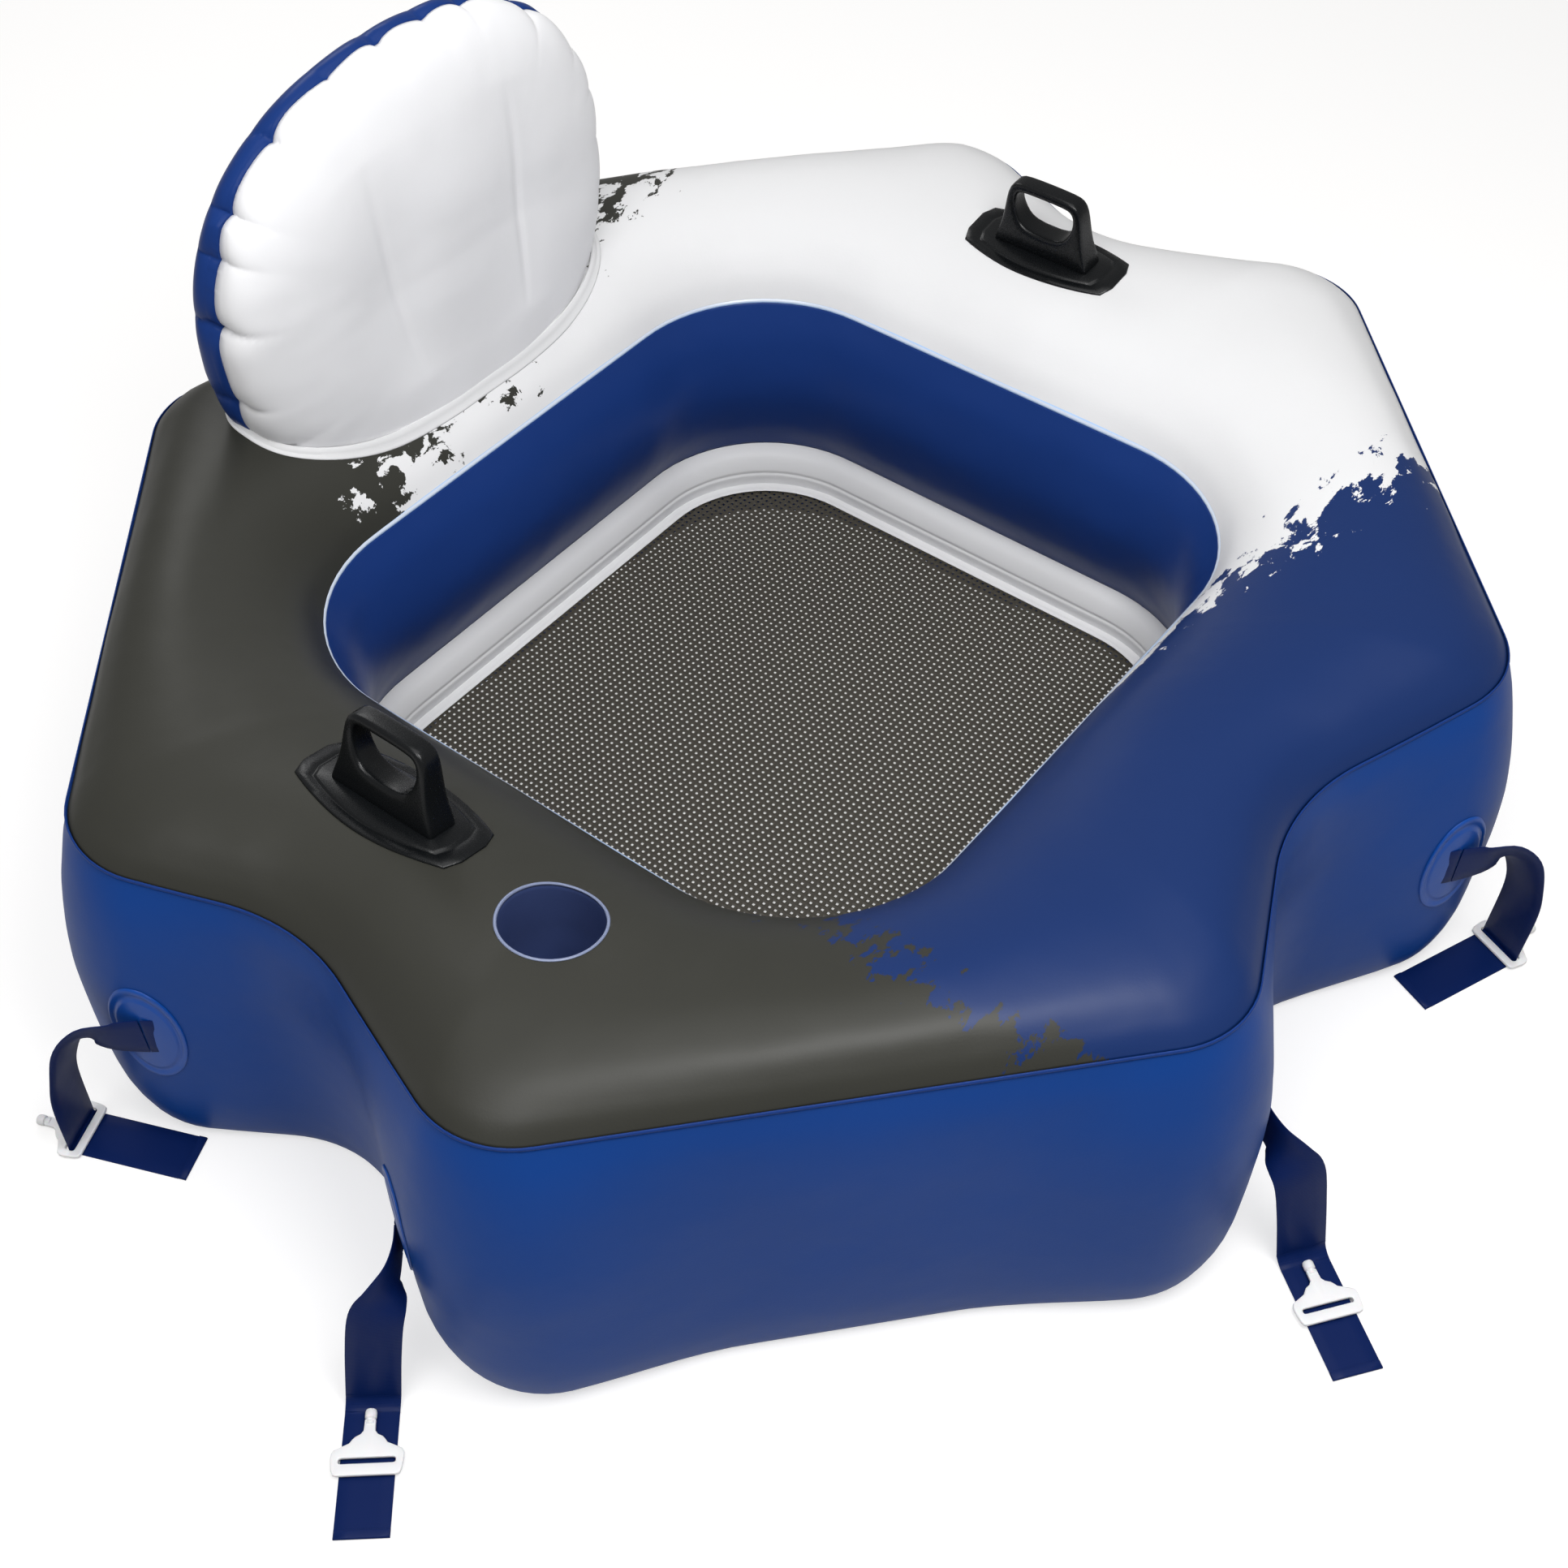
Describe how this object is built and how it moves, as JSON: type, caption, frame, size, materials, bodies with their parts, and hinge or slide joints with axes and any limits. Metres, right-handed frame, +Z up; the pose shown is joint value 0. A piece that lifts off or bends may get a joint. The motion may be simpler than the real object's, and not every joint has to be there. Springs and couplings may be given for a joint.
{
  "type": "inflatable pool lounger",
  "caption": "Inflatable pool lounger: a padded ring with a sunken mesh seat, scalloped backrest, cup recess, carry handles and straps with knob-and-slot buckles.",
  "frame": {"origin": "centre of the outer box, on the floor that the bottom sheet rests on", "axes": "+Z up, the sitter faces -Y, the backrest stands at +Y and the cup recess is on the -X side"},
  "size_m": [1.6378, 1.51, 0.68],
  "materials": {
    "printed_vinyl": "semi-gloss printed",
    "royal_blue_vinyl": "semi-gloss",
    "navy_vinyl": "semi-gloss",
    "white_vinyl": "semi-gloss",
    "mesh_fabric": "coated mesh",
    "pale_weld": "semi-gloss, translucent",
    "black_vinyl": "satin",
    "navy_webbing": "smooth webbing",
    "white_plastic": "moulded"
  },
  "bodies": {
    "float": {"top_sheet": "printed_vinyl", "outer_wall": "royal_blue_vinyl", "inner_wall": "navy_vinyl", "bottom_sheet": "royal_blue_vinyl", "seat_ring": "white_vinyl", "mesh_hem": "white_vinyl", "mesh_floor": "mesh_fabric", "cup_sleeve": "navy_vinyl", "cup_rim": "pale_weld", "handle_pad_right": "black_vinyl", "handle_pad_left": "black_vinyl", "handle_grip_right": "black_vinyl", "handle_grip_left": "black_vinyl", "backrest_lip": "white_vinyl", "tube_valve_body": "pale_weld", "strap_patch_right_back": "royal_blue_vinyl", "strap_patch_right_front": "royal_blue_vinyl", "strap_patch_front_right": "royal_blue_vinyl", "strap_patch_front_left": "royal_blue_vinyl", "strap_patch_left_front": "royal_blue_vinyl", "strap_patch_left_back": "royal_blue_vinyl", "strap_patch_back_left": "royal_blue_vinyl", "strap_patch_back_right": "royal_blue_vinyl"},
    "backrest": {"backrest_front": "white_vinyl", "backrest_back": "navy_vinyl", "backrest_rib_left": "white_vinyl", "backrest_rib_right": "white_vinyl", "backrest_valve_body": "pale_weld"},
    "strap_right_back": {"strap_right_back": "navy_webbing"},
    "buckle_right_back": {"buckle_right_back": "white_plastic"},
    "strap_right_front": {"strap_right_front": "navy_webbing"},
    "buckle_right_front": {"buckle_right_front": "white_plastic"},
    "strap_front_right": {"strap_front_right": "navy_webbing"},
    "buckle_front_right": {"buckle_front_right": "white_plastic"},
    "strap_front_left": {"strap_front_left": "navy_webbing"},
    "buckle_front_left": {"buckle_front_left": "white_plastic"},
    "strap_left_front": {"strap_left_front": "navy_webbing"},
    "buckle_left_front": {"buckle_left_front": "white_plastic"},
    "strap_left_back": {"strap_left_back": "navy_webbing"},
    "buckle_left_back": {"buckle_left_back": "white_plastic"},
    "strap_back_left": {"strap_back_left": "navy_webbing"},
    "buckle_back_left": {"buckle_back_left": "white_plastic"},
    "strap_back_right": {"strap_back_right": "navy_webbing"},
    "buckle_back_right": {"buckle_back_right": "white_plastic"},
    "tube_valve_plug": {"tube_valve_plug": "pale_weld"},
    "backrest_valve_plug": {"backrest_valve_plug": "pale_weld"}
  },
  "joints": [
    {"name": "backrest_recline", "type": "hinge", "parent": "float", "child": "backrest", "pos_m": [0, 0.5303, 0.35808], "axis": [-1, 0, 0], "range_deg": [0, 8]},
    {"name": "strap_swing_right_back", "type": "hinge", "parent": "float", "child": "strap_right_back", "pos_m": [-0.64982, 0.17011, 0.172], "axis": [0, 0, 1], "range_deg": [0, 10]},
    {"name": "buckle_slide_right_back", "type": "slide", "parent": "strap_right_back", "child": "buckle_right_back", "axis": [-0.0502, -0.2048, 0.9775], "range_m": [0, 0.03]},
    {"name": "strap_swing_right_front", "type": "hinge", "parent": "float", "child": "strap_right_front", "pos_m": [-0.64667, -0.11182, 0.14], "axis": [0, 0, -1], "range_deg": [0, 25]},
    {"name": "buckle_slide_right_front", "type": "slide", "parent": "strap_right_front", "child": "buckle_right_front", "axis": [-0.7639, -0.6453, 0], "range_m": [0, 0.04]},
    {"name": "strap_swing_front_right", "type": "hinge", "parent": "float", "child": "strap_front_right", "pos_m": [-0.13733, -0.57948, 0.14], "axis": [0, 0, 1], "range_deg": [0, 25]},
    {"name": "buckle_slide_front_right", "type": "slide", "parent": "strap_front_right", "child": "buckle_front_right", "axis": [-0.607, -0.7947, 0], "range_m": [0, 0.04]},
    {"name": "strap_swing_front_left", "type": "hinge", "parent": "float", "child": "strap_front_left", "pos_m": [0.17007, -0.59975, 0.172], "axis": [0, 0, -1], "range_deg": [0, 10]},
    {"name": "buckle_slide_front_left", "type": "slide", "parent": "strap_front_left", "child": "buckle_front_left", "axis": [-0.2048, -0.0501, 0.9775], "range_m": [0, 0.03]},
    {"name": "strap_swing_left_front", "type": "hinge", "parent": "float", "child": "strap_left_front", "pos_m": [0.64667, -0.11182, 0.14], "axis": [0, 0, 1], "range_deg": [0, 25]},
    {"name": "buckle_slide_left_front", "type": "slide", "parent": "strap_left_front", "child": "buckle_left_front", "axis": [0.7639, -0.6453, 0], "range_m": [0, 0.04]},
    {"name": "strap_swing_left_back", "type": "hinge", "parent": "float", "child": "strap_left_back", "pos_m": [0.64982, 0.17011, 0.172], "axis": [0, 0, -1], "range_deg": [0, 10]},
    {"name": "buckle_slide_left_back", "type": "slide", "parent": "strap_left_back", "child": "buckle_left_back", "axis": [0.0502, -0.2048, 0.9775], "range_m": [0, 0.03]},
    {"name": "strap_swing_back_left", "type": "hinge", "parent": "float", "child": "strap_back_left", "pos_m": [0.12987, 0.59814, 0.14], "axis": [0, 0, 1], "range_deg": [0, 25]},
    {"name": "buckle_slide_back_left", "type": "slide", "parent": "strap_back_left", "child": "buckle_back_left", "axis": [0.7688, 0.6395, 0], "range_m": [0, 0.04]},
    {"name": "strap_swing_back_right", "type": "hinge", "parent": "float", "child": "strap_back_right", "pos_m": [-0.16512, 0.61147, 0.172], "axis": [0, 0, -1], "range_deg": [0, 10]},
    {"name": "buckle_slide_back_right", "type": "slide", "parent": "strap_back_right", "child": "buckle_back_right", "axis": [0.1885, 0.0945, 0.9775], "range_m": [0, 0.03]},
    {"name": "tube_plug_pull", "type": "slide", "parent": "float", "child": "tube_valve_plug", "axis": [0.6497, 0.7602, 0], "range_m": [0, 0.012]},
    {"name": "backrest_plug_pull", "type": "slide", "parent": "backrest", "child": "backrest_valve_plug", "axis": [0, 1, 0], "range_m": [0, 0.012]}
  ]
}
